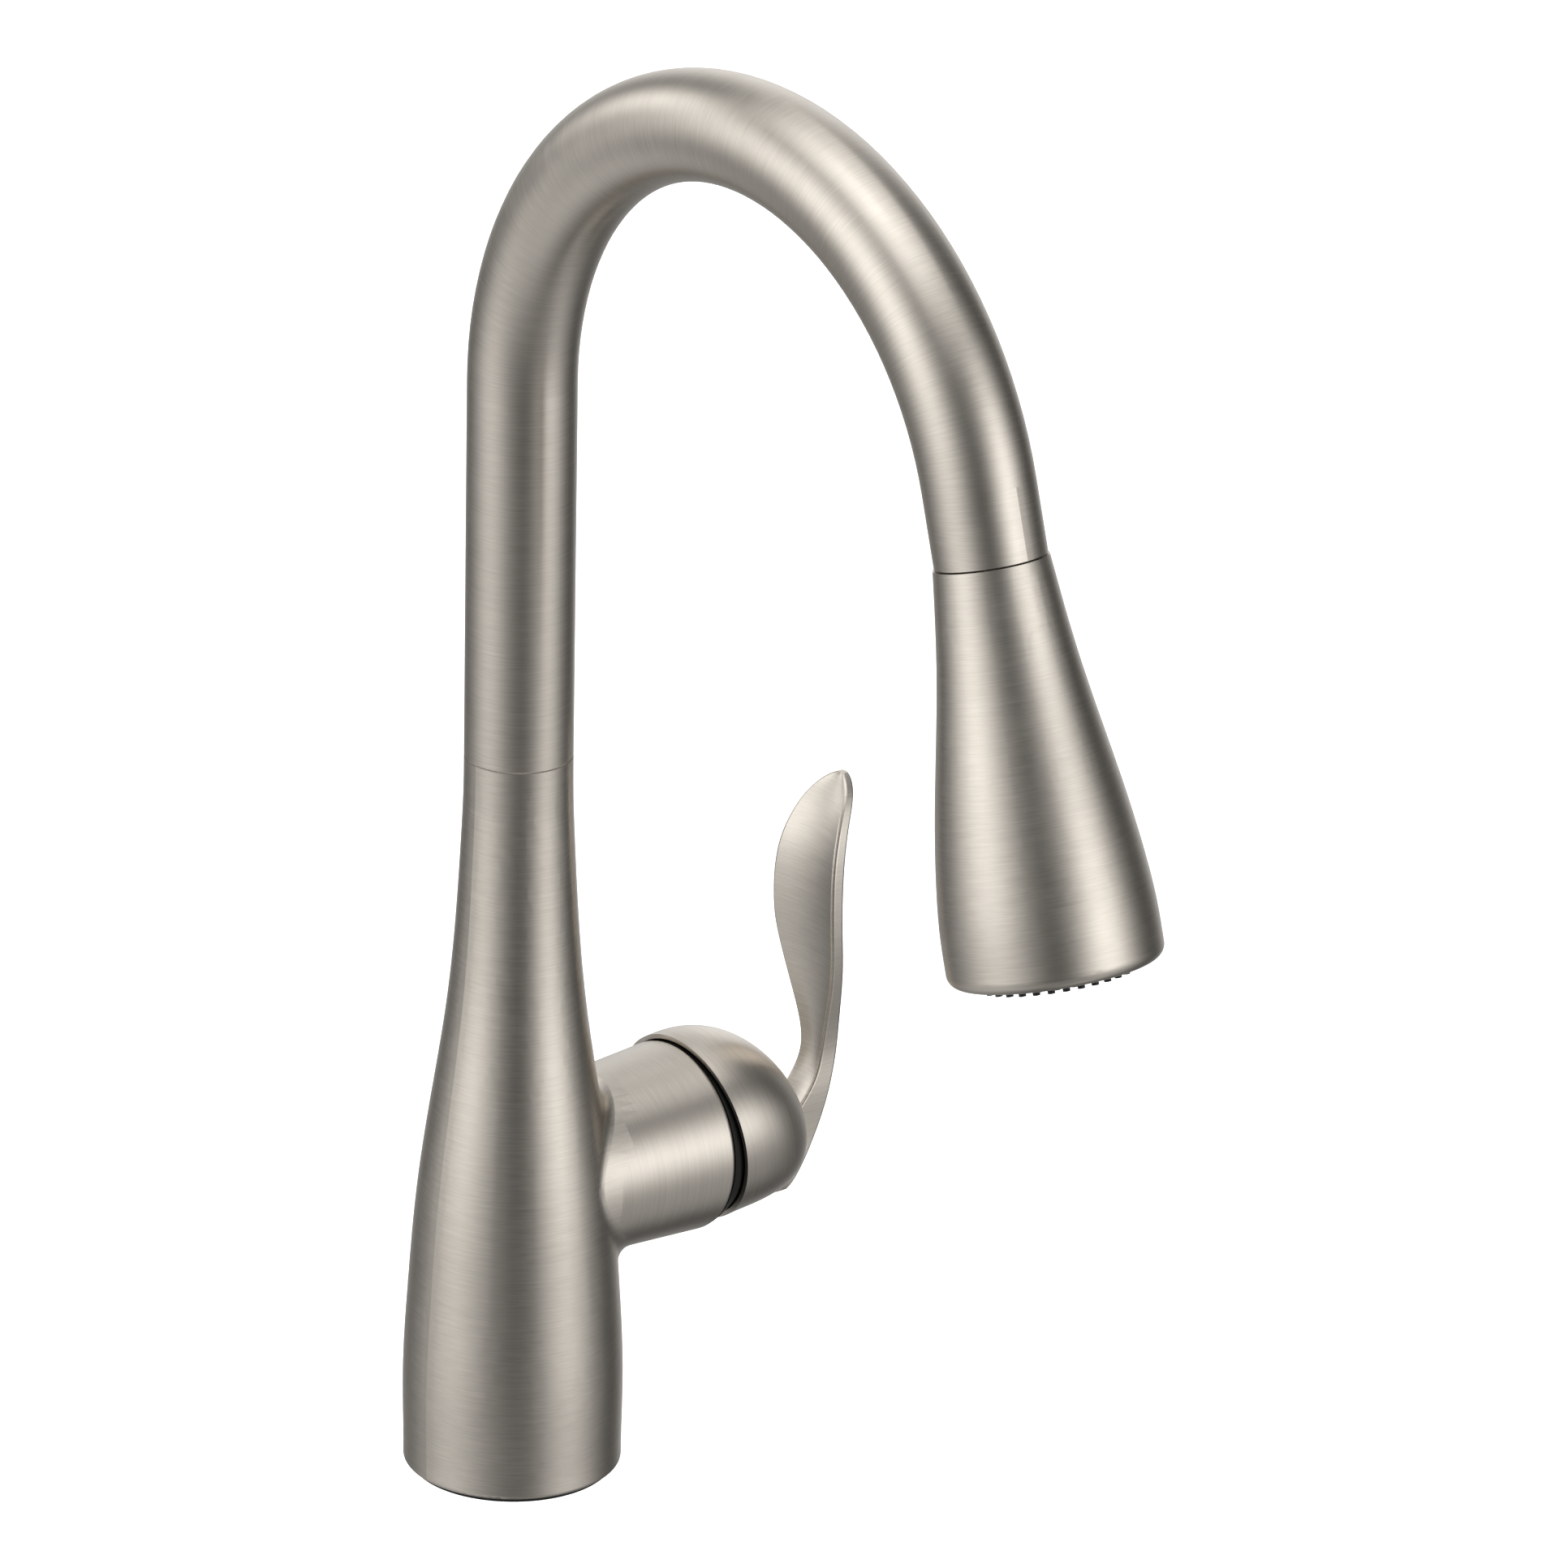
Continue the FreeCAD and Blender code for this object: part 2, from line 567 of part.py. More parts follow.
def spout_core(radius, start):
    """Solid rod along the spout's centre line: riser, bend and outlet run."""
    riser = cylinder(radius, start, RISER_TOP)
    circle = Part.Face(Part.Wire(Part.makeCircle(radius, V(0, 0, RISER_TOP), Z_AXIS)))
    bend = circle.revolve(ARCH_CENTRE, X_AXIS, ARCH_SWEEP)
    run = Part.makeCylinder(radius, OUTLET_RUN, ARCH_END, OUTLET_DIR)
    return riser.fuse([bend, run]).removeSplitter()


def spout_tube():
    return spout_core(TUBE_RADIUS, TUBE_START).cut(spout_bore())


def spout_bore():
    """Inside of the spout tube, run past both ends."""
    inner = TUBE_RADIUS - TUBE_WALL
    ends = cylinder(inner, TUBE_START - 1, TUBE_START + 1)
    mouth = Part.makeCylinder(inner, 2, OUTLET - OUTLET_DIR, OUTLET_DIR)
    return spout_core(inner, TUBE_START).fuse([ends, mouth])


def swivel_stem():
    """Brass stem brazed into the spout, turning in two bushings in the casting's neck."""
    bottom = SEAT_HEIGHT - SWIVEL_DEPTH
    inner = TUBE_RADIUS - TUBE_WALL
    stem = cylinder(SWIVEL_RADIUS, bottom, TUBE_START + 1)
    stem = stem.fuse(cylinder(inner, TUBE_START, TUBE_START + PLUG_LENGTH)).removeSplitter()
    stem = stem.cut(cylinder(SWIVEL_BORE, bottom - 1, TUBE_START + PLUG_LENGTH + 1))
    clip_top = lower_bushing_bottom() - FACE_GAP
    groove = tube(SWIVEL_RADIUS + 1, SWIVEL_RADIUS - CLIP_GROOVE, clip_top - CLIP_THICK, clip_top)
    return stem.cut(groove).cut(tube(SWIVEL_RADIUS + 1, SWIVEL_RADIUS - 1, oring_height() - 1.6,
                                     oring_height() + 1.6))


def oring_height():
    return SEAT_HEIGHT - LOWER_BUSHING_TOP / 2 - 3


def lower_bushing_bottom():
    return SEAT_HEIGHT - LOWER_BUSHING_TOP - BUSHING_LENGTH - BUSHING_FLANGE


def swivel_o_ring():
    return torus(SWIVEL_RADIUS - 1 + ORING_SECTION + FACE_GAP, ORING_SECTION, oring_height())


def upper_bushing():
    bore = SWIVEL_RADIUS + RUN_GAP
    bushing = tube(NECK_BORE - 0.05, bore, SEAT_HEIGHT - BUSHING_LENGTH, SEAT_HEIGHT)
    rim = tube(NECK_BORE + BUSHING_FLANGE - 0.1, bore, SEAT_HEIGHT - BUSHING_FLANGE, SEAT_HEIGHT)
    return bushing.fuse(rim).removeSplitter()


def lower_bushing():
    bore = SWIVEL_RADIUS + RUN_GAP
    seat = SEAT_HEIGHT - LOWER_BUSHING_TOP - BUSHING_LENGTH
    bushing = tube(NECK_BORE - 0.05, bore, seat - BUSHING_FLANGE, seat + BUSHING_LENGTH)
    rim = tube(NECK_BORE + BUSHING_FLANGE - 0.1, bore, seat - BUSHING_FLANGE, seat)
    return bushing.fuse(rim).removeSplitter()


def slip_washer():
    """Acetal ring between the casting and the spout, the visible hairline at the swivel."""
    return tube(TUBE_RADIUS - 0.5, SWIVEL_RADIUS + PART_GAP, SEAT_HEIGHT, SEAT_HEIGHT + WASHER_THICK)


def retaining_clip():
    """Open spring clip under the lower bushing that keeps the spout in."""
    top = lower_bushing_bottom() - FACE_GAP - 0.05
    clip = tube(SWIVEL_RADIUS + 1.8, SWIVEL_RADIUS - CLIP_GROOVE + 0.05, top - CLIP_THICK + 0.1, top)
    gap = Part.makeBox(6, 3 * SWIVEL_RADIUS, 10, V(-3, 0, top - 5))
    return clip.cut(gap)


def dock_collar():
    """Acetal collar in the spout's mouth that the wand's neck plugs into."""
    outer = TUBE_RADIUS - TUBE_WALL
    return in_wand(tube(outer, NECK_RADIUS + SLIDE_GAP, -DOCK_LENGTH, -0.3))


def hose_lower():
    """Spray hose in the casting, from the deck to the swivel plane."""
    return tube(HOSE_RADIUS, HOSE_BORE, HOSE_START, SEAT_HEIGHT)


def hose_upper():
    """The same hose on through the spout, ending in its ferrule in the wand's neck."""
    def rod(radius, extra):
        riser = cylinder(radius, SEAT_HEIGHT - extra, RISER_TOP)
        circle = Part.Face(Part.Wire(Part.makeCircle(radius, V(0, 0, RISER_TOP), Z_AXIS)))
        bend = circle.revolve(ARCH_CENTRE, X_AXIS, hose_sweep())
        return riser.fuse(bend).removeSplitter()
    return rod(HOSE_RADIUS, 0).cut(rod(HOSE_BORE, 1))


def hose_sweep():
    """Angle of the bend at which the hose meets its ferrule."""
    rest = FERRULE_TOP - OUTLET_RUN
    return ARCH_SWEEP - math.degrees(rest / ARCH_RADIUS)


# ---------------------------------------------------------------- hose end


def hose_ferrule():
    """Crimped sleeve on the hose's end, bent round no further than the straight outlet run."""
    length = FERRULE_TOP - OUTLET_RUN
    solid = cylinder(FERRULE_RADIUS, -OUTLET_RUN + 0.2, -FERRULE_BOTTOM)
    bore = cylinder(HOSE_BORE, -OUTLET_RUN - 1, -FERRULE_BOTTOM + 1)
    sleeve = in_wand(solid.cut(bore))
    circle = Part.Face(Part.Wire(Part.makeCircle(HOSE_RADIUS, ARCH_END, OUTLET_DIR)))
    hollow = Part.Face(Part.Wire(Part.makeCircle(HOSE_BORE, ARCH_END, OUTLET_DIR)))
    sweep = math.degrees(length / ARCH_RADIUS)
    stub = circle.revolve(ARCH_CENTRE, X_AXIS, -sweep)
    stub = stub.cut(hollow.revolve(ARCH_CENTRE, X_AXIS, -sweep))
    link = in_wand(tube(HOSE_RADIUS, HOSE_BORE, -OUTLET_RUN, -OUTLET_RUN + 0.3))
    return sleeve.fuse([stub, link]).removeSplitter()


def hose_nipple():
    """Brass swivel nipple that the wand turns on."""
    nipple = cylinder(NIPPLE_RADIUS, -FERRULE_BOTTOM + 1, NIPPLE_END)
    nipple = nipple.fuse(cylinder(FERRULE_RADIUS, -FERRULE_BOTTOM, -FERRULE_BOTTOM + 3))
    nipple = nipple.cut(cylinder(NIPPLE_BORE, -FERRULE_BOTTOM - 1, NIPPLE_END + 1))
    groove = tube(NIPPLE_RADIUS + 1, NIPPLE_RADIUS - 1, nipple_ring() - 1.0, nipple_ring() + 1.0)
    return in_wand(nipple.removeSplitter().cut(groove))


def nipple_ring():
    return NIPPLE_END - 3.0


def nipple_o_ring():
    return in_wand(torus(NIPPLE_RADIUS - 0.15, 0.8, nipple_ring()))


# ---------------------------------------------------------------- wand


def wand_outline(inset):
    return [(radius - inset, share * WAND_LENGTH) for share, radius in WAND_PROFILE]


def wand_solid():
    """Outside of the wand: a smooth flare with a rounded lower rim."""
    body = turned_curve(wand_outline(0), Z_AXIS, WAND_SEAM, WAND_LENGTH)
    body = body.common(cylinder(2 * BASE_RADIUS, WAND_SEAM, WAND_LENGTH))
    rim = [e for e in body.Edges if e.BoundBox.ZMin > WAND_LENGTH - 0.01 and e.Length > 1]
    return body.makeFillet(WAND_LIP, rim)


def rocker_blank(grow):
    """Rounded bar through the wand's rear wall, for the window and the rocker."""
    half = ROCKER_WIDTH / 2 + grow
    length = ROCKER_LENGTH + 2 * grow
    straight = length / 2 - half
    box = Part.makeBox(2 * half, BASE_RADIUS, 2 * straight)
    box.translate(V(-half, -BASE_RADIUS - 8, ROCKER_STATION - straight))
    ends = [Part.makeCylinder(half, BASE_RADIUS, V(0, -BASE_RADIUS - 8, ROCKER_STATION + end), Y_AXIS)
            for end in (-straight, straight)]
    return box.fuse(ends).removeSplitter()


def wand_shell():
    """Outer shell with the rocker's window in its rear."""
    inner = turned_curve(wand_outline(WAND_WALL), Z_AXIS, WAND_SEAM + 2, WAND_LENGTH + 1)
    inner = inner.common(cylinder(2 * BASE_RADIUS, WAND_SEAM + 2, WAND_LENGTH + 1))
    lip = tube(2 * BASE_RADIUS, FACE_RADIUS + PART_GAP, WAND_LENGTH - 3.5, WAND_LENGTH + 2)
    shell = wand_solid().cut(inner.cut(lip))
    shell = shell.cut(cylinder(NECK_RADIUS + 0.05, WAND_SEAM - 1, WAND_SEAM + 3))
    return in_wand(shell.cut(rocker_blank(ROCKER_GAP)))


def wand_waterway():
    """Moulded inner body: neck, check-valve bore, spool bore and spray chamber."""
    body = cylinder(NECK_RADIUS, -NECK_LENGTH, WAND_SEAM + 4)
    body = body.fuse(cylinder(CORE_RADIUS, WAND_SEAM + 2.1, CORE_END))
    body = body.fuse(cylinder(CHAMBER_RADIUS, CORE_END, CHAMBER_END)).removeSplitter()
    body = body.cut(cylinder(NECK_BORE_WAND, -NECK_LENGTH - 1, -FERRULE_BOTTOM + 3.6))
    body = body.cut(cylinder(NIPPLE_RADIUS + 0.7, -FERRULE_BOTTOM, NIPPLE_END - 6))
    body = body.cut(cylinder(NIPPLE_RADIUS + RUN_GAP, -FERRULE_BOTTOM, NIPPLE_END + 0.5))
    body = body.cut(cylinder(nipple_socket(), nipple_ring() - 3, nipple_ring() + 4))
    body = body.cut(cylinder(CAGE_RADIUS + RUN_GAP, CAGE_START - 1, CAGE_START + CAGE_LENGTH + 0.1))
    body = body.cut(cylinder(3.0, CAGE_START, SPOOL_START + 4))
    spool_centre = V(0, -SPOOL_AXIS, 0)
    body = body.cut(cylinder(SPOOL_RADIUS + RUN_GAP, SPOOL_START - 4, CHAMBER_END + 1, spool_centre))
    window = Part.makeBox(4.0, CHAMBER_RADIUS, 12.0)
    window.translate(V(-2.0, -SPOOL_AXIS - CHAMBER_RADIUS, ROCKER_STATION - 6.0))
    body = body.cut(window)
    room = cylinder(CHAMBER_RADIUS - 2.5, SPOOL_END + 4, CHAMBER_END + 1)
    body = body.cut(room)
    return in_wand(body.fuse(pin_ears()))


def nipple_socket():
    return NIPPLE_RADIUS + 0.75


def pin_ears():
    """Two ears on the waterway that carry the rocker's pin."""
    ears = []
    for side in (-1, 1):
        depth = ROCKER_PIVOT + 2.0 - SPOOL_AXIS - SPOOL_RADIUS - 0.6
        ear = Part.makeBox(1.8, depth, 4.4)
        ear.translate(V(side * 3.9 - 0.9, -ROCKER_PIVOT - 2.0, ROCKER_STATION - 2.2))
        ears.append(ear)
    ears = ears[0].fuse(ears[1])
    return ears.cut(rocker_pin_shape(0.0))


def rocker_pin_shape(gap):
    start = V(-ROCKER_PIN_LENGTH / 2, -ROCKER_PIVOT, ROCKER_STATION)
    return Part.makeCylinder(ROCKER_PIN + gap, ROCKER_PIN_LENGTH, start, X_AXIS)


def rocker_pin():
    return in_wand(rocker_pin_shape(0.0))


def mode_rocker():
    """Two-position rocker that follows the shell's curve, with a finger into the spool."""
    outer = wand_solid()
    inner = turned_curve(wand_outline(ROCKER_THICK), Z_AXIS, WAND_SEAM, WAND_LENGTH)
    skin = outer.cut(inner).common(rocker_blank(0))
    skin = max(skin.Solids, key=lambda solid: solid.BoundBox.YMin * -1)
    web = Part.makeBox(3.6, 7.0, 7.0, V(-1.8, -ROCKER_PIVOT - 5.0, ROCKER_STATION - 3.5))
    web = web.common(outer)
    finger = Part.makeBox(2.6, ROCKER_PIVOT - FINGER_TIP, 2.4)
    finger.translate(V(-1.3, -ROCKER_PIVOT, ROCKER_STATION - 1.2))
    rocker = skin.fuse([web, finger]).removeSplitter()
    rocker = rocker.cut(rocker_pin_shape(RUN_GAP))
    rocker.rotate(V(0, -ROCKER_PIVOT, ROCKER_STATION), X_AXIS, -ROCKER_TILT)
    return in_wand(rocker)


def spool_shift():
    """The tilted finger holds the resting spool a little towards the hose."""
    arm = ROCKER_PIVOT - FINGER_TIP
    return arm * math.sin(math.radians(ROCKER_TILT))


def diverter_spool():
    """Spool that sends the water to the spray or the stream."""
    centre = V(0, -SPOOL_AXIS, -spool_shift())
    spool = cylinder(SPOOL_RADIUS, SPOOL_START, SPOOL_END, centre)
    waist = tube(SPOOL_RADIUS + 1, SPOOL_WAIST, ROCKER_STATION - 1.5, ROCKER_STATION + 1.5, centre)
    spool = spool.cut(waist)
    for end in (SPOOL_START + 2.5, SPOOL_END - 2.5):
        spool = spool.cut(tube(SPOOL_RADIUS + 1, SPOOL_RADIUS - 0.8, end - 0.8, end + 0.8, centre))
    return in_wand(spool)


def spool_o_rings():
    centre = V(0, -SPOOL_AXIS, -spool_shift())
    return [in_wand(torus(SPOOL_RADIUS - 0.8 + 0.42, 0.4, end, centre))
            for end in (SPOOL_START + 2.5, SPOOL_END - 2.5)]


def check_valve_cage():
    """Snap-in cage of the non-return valve, with its seat at the hose end."""
    end = CAGE_START + CAGE_LENGTH
    cage = tube(CAGE_RADIUS, CAGE_BORE, CAGE_START, end)
    seat = tube(CAGE_BORE + 0.5, POPPET_RADIUS - 1.2, CAGE_START, CAGE_START + 1.2)
    guide = cylinder(POPPET_STEM + 1.2, end - 2.0, end).fuse(
        Part.makeBox(2 * CAGE_BORE + 0.6, 1.4, 2.0, V(-CAGE_BORE - 0.3, -0.7, end - 2.0)))
    cage = cage.fuse([seat, guide]).removeSplitter()
    return in_wand(cage.cut(cylinder(POPPET_STEM + RUN_GAP, end - 3, end + 1)))


def check_poppet():
    head = CAGE_START + 1.2 + FACE_GAP
    poppet = cylinder(POPPET_RADIUS, head, head + POPPET_THICK)
    stem = cylinder(POPPET_STEM, head, CAGE_START + CAGE_LENGTH - 0.5)
    return in_wand(poppet.fuse(stem).removeSplitter())


def check_spring():
    """Light coil that closes the poppet."""
    start = CAGE_START + 1.2 + FACE_GAP + POPPET_THICK + 0.35
    end = CAGE_START + CAGE_LENGTH - 2.0 - 0.35
    coil_radius = POPPET_STEM + 1.1
    path = Part.makeHelix((end - start) / 4, end - start, coil_radius)
    path.translate(V(0, 0, start))
    profile = Part.Wire(Part.makeCircle(0.25, V(coil_radius, 0, start), Y_AXIS))
    return in_wand(Part.Wire(path.Edges).makePipeShell([profile], True, True))


def flow_divider():
    """Plate that splits the chamber into the centre stream and the outer spray."""
    plate = cylinder(CHAMBER_RADIUS + 1.5, CHAMBER_END, CHAMBER_END + DIVIDER_THICK)
    plate = plate.fuse(tube(AERATOR_RADIUS + 1.4, AERATOR_RADIUS - 1.5, CHAMBER_END, MAT_TOP - 2))
    plate = plate.removeSplitter().cut(cylinder(AERATOR_RADIUS - 3, CHAMBER_END - 1, MAT_TOP))
    for turn in range(8):
        place = V(AERATOR_RADIUS + 5, 0, 0)
        hole = cylinder(1.6, CHAMBER_END - 1, CHAMBER_END + DIVIDER_THICK + 1, place)
        hole.rotate(V(0, 0, 0), Z_AXIS, 45 * turn)
        plate = plate.cut(hole)
    return in_wand(plate)


def divider_seal():
    return in_wand(torus(CHAMBER_RADIUS + 1.5 + 1.3, 1.2, CHAMBER_END + DIVIDER_THICK / 2))


def nozzle_places():
    places = []
    for radius, count in NOZZLE_RINGS:
        for i in range(count):
            turn = 2 * math.pi * i / count
            places.append(V(radius * math.cos(turn), radius * math.sin(turn), 0))
    return places


def nozzle_mat():
    """Silicone mat with the rubbed-clean nozzles, one moulding."""
    mat = tube(FACE_RADIUS - 0.7, AERATOR_RADIUS + 1.5, MAT_TOP, MAT_TOP + MAT_THICK)
    tips = [cylinder(NOZZLE_RADIUS, MAT_TOP + 1, WAND_LENGTH + NOZZLE_PROUD, p) for p in nozzle_places()]
    bores = [cylinder(NOZZLE_BORE, MAT_TOP - 1, WAND_LENGTH + NOZZLE_PROUD + 1, p) for p in nozzle_places()]
    return in_wand(mat.fuse(tips).removeSplitter().cut(Part.makeCompound(bores)))


def spray_face():
    """Dark face plate that the nozzles poke through."""
    top = MAT_TOP + MAT_THICK + FACE_GAP
    face = cylinder(FACE_RADIUS, top, FACE_TOP + FACE_THICK)
    face = face.cut(cylinder(AERATOR_RADIUS + 0.1, top - 1, FACE_TOP + FACE_THICK + 1))
    holes = [cylinder(NOZZLE_RADIUS + 0.05, top - 1, FACE_TOP + FACE_THICK + 1, p)
             for p in nozzle_places()]
    return in_wand(face.cut(Part.makeCompound(holes)))


def stream_aerator():
    """Centre insert with a honeycomb of round cells for the steady stream."""
    end = FACE_TOP + FACE_THICK - 0.6
    body = cylinder(AERATOR_RADIUS, MAT_TOP, end)
    cells = []
    pitch = 2 * AERATOR_CELL + 0.35
    reach = int(AERATOR_RADIUS / pitch) + 1
    for row in range(-reach, reach + 1):
        for column in range(-reach, reach + 1):
            place = V(pitch * (column + 0.5 * (row % 2)), pitch * 0.866 * row, 0)
            if place.Length < AERATOR_RADIUS - AERATOR_CELL - 0.9:
                cells.append(cylinder(AERATOR_CELL, MAT_TOP - 1, end + 1, place))
    return in_wand(body.cut(Part.makeCompound(cells)))


def inlet_screen():
    """Perforated strainer ahead of the check valve."""
    disc = cylinder(NIPPLE_RADIUS - 0.2, NIPPLE_END + 0.7, CAGE_START - 0.3)
    holes = []
    for row in (-1.8, 0, 1.8):
        for column in (-1.8, 0, 1.8):
            holes.append(cylinder(0.5, NIPPLE_END, CAGE_START + 1, V(row, column, 0)))
    return in_wand(disc.cut(Part.makeCompound(holes)))


os.makedirs("parts", exist_ok=True)
export("body_shell", body_shell())
export("base_gasket", base_gasket())
export("waterway_column", waterway_column())
export("valve_cup", valve_cup())
export("cup_screws", *cup_screws())
export("cartridge_base", cartridge_base())
export("fixed_disc", fixed_disc())
export("moving_disc", moving_disc())
export("disc_carrier", disc_carrier())
export("cartridge_housing", cartridge_housing())
export("mixer_rotor", mixer_rotor())
export("stem_pin", stem_pin())
export("retainer_nut", retainer_nut())
export("bonnet", bonnet())
export("control_stem", control_stem())
export("handle_dome", handle_dome())
export("grub_screw", grub_screw())
export("handle_lever", handle_lever())
export("lever_screw", lever_screw())
export("spout_tube", spout_tube())
export("swivel_stem", swivel_stem())
export("swivel_o_ring", swivel_o_ring())
export("upper_bushing", upper_bushing())
export("lower_bushing", lower_bushing())
export("slip_washer", slip_washer())
export("retaining_clip", retaining_clip())
export("dock_collar", dock_collar())
export("hose_lower", hose_lower())
export("hose_upper", hose_upper())
export("hose_ferrule", hose_ferrule())
export("hose_nipple", hose_nipple())
export("nipple_o_ring", nipple_o_ring())
export("wand_shell", wand_shell())
export("wand_waterway", wand_waterway())
export("rocker_pin", rocker_pin())
export("mode_rocker", mode_rocker())
export("diverter_spool", diverter_spool())
export("spool_o_rings", *spool_o_rings())
export("inlet_screen", inlet_screen())
export("check_valve_cage", check_valve_cage())
export("check_poppet", check_poppet())
export("check_spring", check_spring())
export("flow_divider", flow_divider())
export("divider_seal", divider_seal())
export("nozzle_mat", nozzle_mat())
export("spray_face", spray_face())
export("stream_aerator", stream_aerator())
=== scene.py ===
import math

import bmesh
import bpy
from mathutils import Matrix, Vector


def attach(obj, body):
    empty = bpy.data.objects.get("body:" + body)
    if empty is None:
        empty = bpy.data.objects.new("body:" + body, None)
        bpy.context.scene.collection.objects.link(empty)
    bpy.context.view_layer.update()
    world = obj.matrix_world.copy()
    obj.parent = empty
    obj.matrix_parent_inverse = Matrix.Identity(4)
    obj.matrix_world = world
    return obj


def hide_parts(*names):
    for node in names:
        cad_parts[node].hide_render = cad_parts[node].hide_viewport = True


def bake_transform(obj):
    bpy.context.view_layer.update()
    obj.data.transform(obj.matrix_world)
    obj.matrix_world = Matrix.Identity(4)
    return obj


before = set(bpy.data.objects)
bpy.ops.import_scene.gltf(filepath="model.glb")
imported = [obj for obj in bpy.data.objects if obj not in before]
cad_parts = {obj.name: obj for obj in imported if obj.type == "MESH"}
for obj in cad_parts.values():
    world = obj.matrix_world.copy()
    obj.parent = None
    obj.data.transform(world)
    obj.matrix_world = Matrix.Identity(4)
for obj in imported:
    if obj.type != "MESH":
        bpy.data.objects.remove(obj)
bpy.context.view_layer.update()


# ---- body casting ----
# One zinc casting: a flared column with a hub on its side for the mixing valve.
# It is nickel plated, then brushed round the column and round the hub on a belt,
# and lacquered, so its highlights run as soft upright bands.
MM = 0.001
HUB_HEIGHT = 0.0763
NICKEL = "#D3CCC2"
RING_PITCH = 0.3 * MM       # brush rings, coarser than real ones so that they show
STROKE_LENGTH = 30 * RING_PITCH
CLOUD_SIZE = 9 * MM         # where the belt pressed harder
BELT_SMEAR = 0.55           # how much further light spreads along the axis than round it
RING_DEPTH = 0.05 * MM
ROUGHNESS_SWING = 0.035


def colour(code, share=1.0):
    """An sRGB hex code as linear RGBA, darkened or lightened by a share."""
    channels = [int(code[place:place + 2], 16) / 255 for place in (1, 3, 5)]
    linear = [c / 12.92 if c <= 0.04045 else ((c + 0.055) / 1.055) ** 2.4 for c in channels]
    return (*(min(1.0, share * c) for c in linear), 1.0)


def add(tree, kind, inputs=None, **settings):
    """Adds a shader node. An input is a value, or the socket that feeds it."""
    made = tree.nodes.new("ShaderNode" + kind)
    for name, value in settings.items():
        setattr(made, name, value)
    for name, value in (inputs or {}).items():
        if isinstance(value, bpy.types.NodeSocket):
            tree.links.new(value, made.inputs[name])
        else:
            made.inputs[name].default_value = value
    return made


def new_finish(name):
    """An empty material, and its node tree."""
    finish = bpy.data.materials.new(name)
    finish.use_nodes = True
    tree = finish.node_tree
    tree.nodes.clear()
    return finish, tree


def close_finish(tree, shader):
    add(tree, "OutputMaterial", {"Surface": shader.outputs["BSDF"]})


